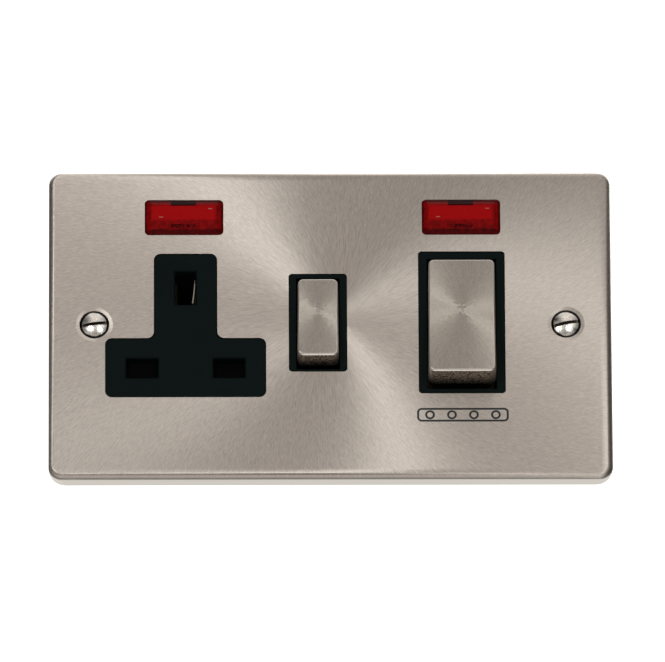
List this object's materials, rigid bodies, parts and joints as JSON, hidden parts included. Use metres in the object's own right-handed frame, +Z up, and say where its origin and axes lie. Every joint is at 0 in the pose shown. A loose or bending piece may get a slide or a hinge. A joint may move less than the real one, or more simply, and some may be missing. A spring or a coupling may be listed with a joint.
{
  "type": "cooker control unit",
  "caption": "Wall plate in brushed metal with a shuttered switched plug outlet beside a large cooker rocker switch, each under a red indicator lens, and rear cable terminals.",
  "frame": {"origin": "middle of the plate on the wall plane, level with the two fixing screws", "axes": "+X towards the cooker switch along the plate, +Y into the wall box, +Z up the wall; the face looks along -Y"},
  "size_m": [0.144, 0.038, 0.085],
  "materials": {
    "plate_metal": "circular brushed satin",
    "cap_metal": "circular brushed satin",
    "black_moulding": "moulded, fine grain",
    "inner_black": "moulded",
    "red_lens": "clear red, polished",
    "bright_screw": "nickel plated",
    "zinc_steel": "zinc plated",
    "brass_sheet": "rolled",
    "brass_block": "machined",
    "spring_steel": "drawn wire",
    "lamp_glass": "clear",
    "resistor_coat": "lacquered"
  },
  "bodies": {
    "unit": {"faceplate": "plate_metal", "plate_nuts": "zinc_steel", "fixing_screws": "bright_screw", "front_moulding": "black_moulding", "socket_face": "black_moulding", "base_moulding": "black_moulding", "assembly_screws": "zinc_steel", "line_supply_strip": "brass_sheet", "neutral_supply_strip": "brass_sheet", "line_load_strip": "brass_sheet", "neutral_load_strip": "brass_sheet", "socket_feed_strip": "brass_sheet", "line_contact": "brass_sheet", "neutral_contact": "brass_sheet", "earth_contact": "brass_sheet", "earth_strap": "brass_sheet", "plate_earth_tail": "brass_sheet", "shutter_spring": "spring_steel", "supply_line_terminal": "brass_block", "load_line_terminal": "brass_block", "supply_neutral_terminal": "brass_block", "load_neutral_terminal": "brass_block", "supply_earth_terminal": "brass_block", "load_earth_terminal": "brass_block", "terminal_screws": "zinc_steel", "socket_lens": "red_lens", "cooker_lens": "red_lens", "socket_lamp": "lamp_glass", "cooker_lamp": "lamp_glass", "lamp_leads": "spring_steel", "lamp_resistors": "resistor_coat"},
    "socket_rocker": {"socket_rocker_cap": "cap_metal", "socket_rocker_carrier": "inner_black", "socket_plunger_spring": "spring_steel"},
    "socket_plunger": {"socket_plunger": "inner_black"},
    "socket_bar": {"socket_bar": "brass_sheet"},
    "cooker_rocker": {"cooker_rocker_cap": "cap_metal", "cooker_rocker_carrier": "inner_black", "line_plunger_spring": "spring_steel", "neutral_plunger_spring": "spring_steel"},
    "line_plunger": {"line_plunger": "inner_black"},
    "neutral_plunger": {"neutral_plunger": "inner_black"},
    "line_bar": {"line_bar": "brass_sheet"},
    "neutral_bar": {"neutral_bar": "brass_sheet"},
    "socket_shutter": {"socket_shutter": "inner_black"}
  },
  "joints": [
    {"name": "socket_rocker_turn", "type": "hinge", "parent": "unit", "child": "socket_rocker", "pos_m": [-0.00314, -0.0024, 0.0001], "axis": [1, 0, 0], "range_deg": [0, 19]},
    {"name": "cooker_rocker_turn", "type": "hinge", "parent": "unit", "child": "cooker_rocker", "pos_m": [0.03365, -0.0024, 0.00005], "axis": [1, 0, 0], "range_deg": [0, 19]},
    {"name": "socket_plunger_slide", "type": "slide", "parent": "socket_rocker", "child": "socket_plunger", "axis": [0, 0.9863, -0.165], "range_m": [-0.001, 0.00045], "stiffness_N_per_m": 250, "deforming": ["socket_plunger_spring"]},
    {"name": "line_plunger_slide", "type": "slide", "parent": "cooker_rocker", "child": "line_plunger", "axis": [0, 0.9863, -0.165], "range_m": [-0.001, 0.00045], "stiffness_N_per_m": 250, "deforming": ["line_plunger_spring"]},
    {"name": "neutral_plunger_slide", "type": "slide", "parent": "cooker_rocker", "child": "neutral_plunger", "axis": [0, 0.9863, -0.165], "range_m": [-0.001, 0.00045], "stiffness_N_per_m": 250, "deforming": ["neutral_plunger_spring"]},
    {"name": "socket_bar_rock", "type": "hinge", "parent": "unit", "child": "socket_bar", "pos_m": [-0.00314, 0.01115, 0.0001], "axis": [1, 0, 0], "range_deg": [-17, 0]},
    {"name": "line_bar_rock", "type": "hinge", "parent": "unit", "child": "line_bar", "pos_m": [0.02815, 0.01115, 0.00005], "axis": [1, 0, 0], "range_deg": [-17, 0]},
    {"name": "neutral_bar_rock", "type": "hinge", "parent": "unit", "child": "neutral_bar", "pos_m": [0.03915, 0.01115, 0.00005], "axis": [1, 0, 0], "range_deg": [-17, 0]},
    {"name": "socket_shutter_slide", "type": "slide", "parent": "unit", "child": "socket_shutter", "axis": [0, 0, -1], "range_m": [0, 0.0062], "stiffness_N_per_m": 150, "springref_m": -0.004, "deforming": ["shutter_spring"]}
  ],
  "couplings": [
    {"joint": "socket_bar_rock", "follows": "socket_rocker_turn", "ratio": -0.8947},
    {"joint": "line_bar_rock", "follows": "cooker_rocker_turn", "ratio": -0.8947},
    {"joint": "neutral_bar_rock", "follows": "cooker_rocker_turn", "ratio": -0.8947}
  ]
}
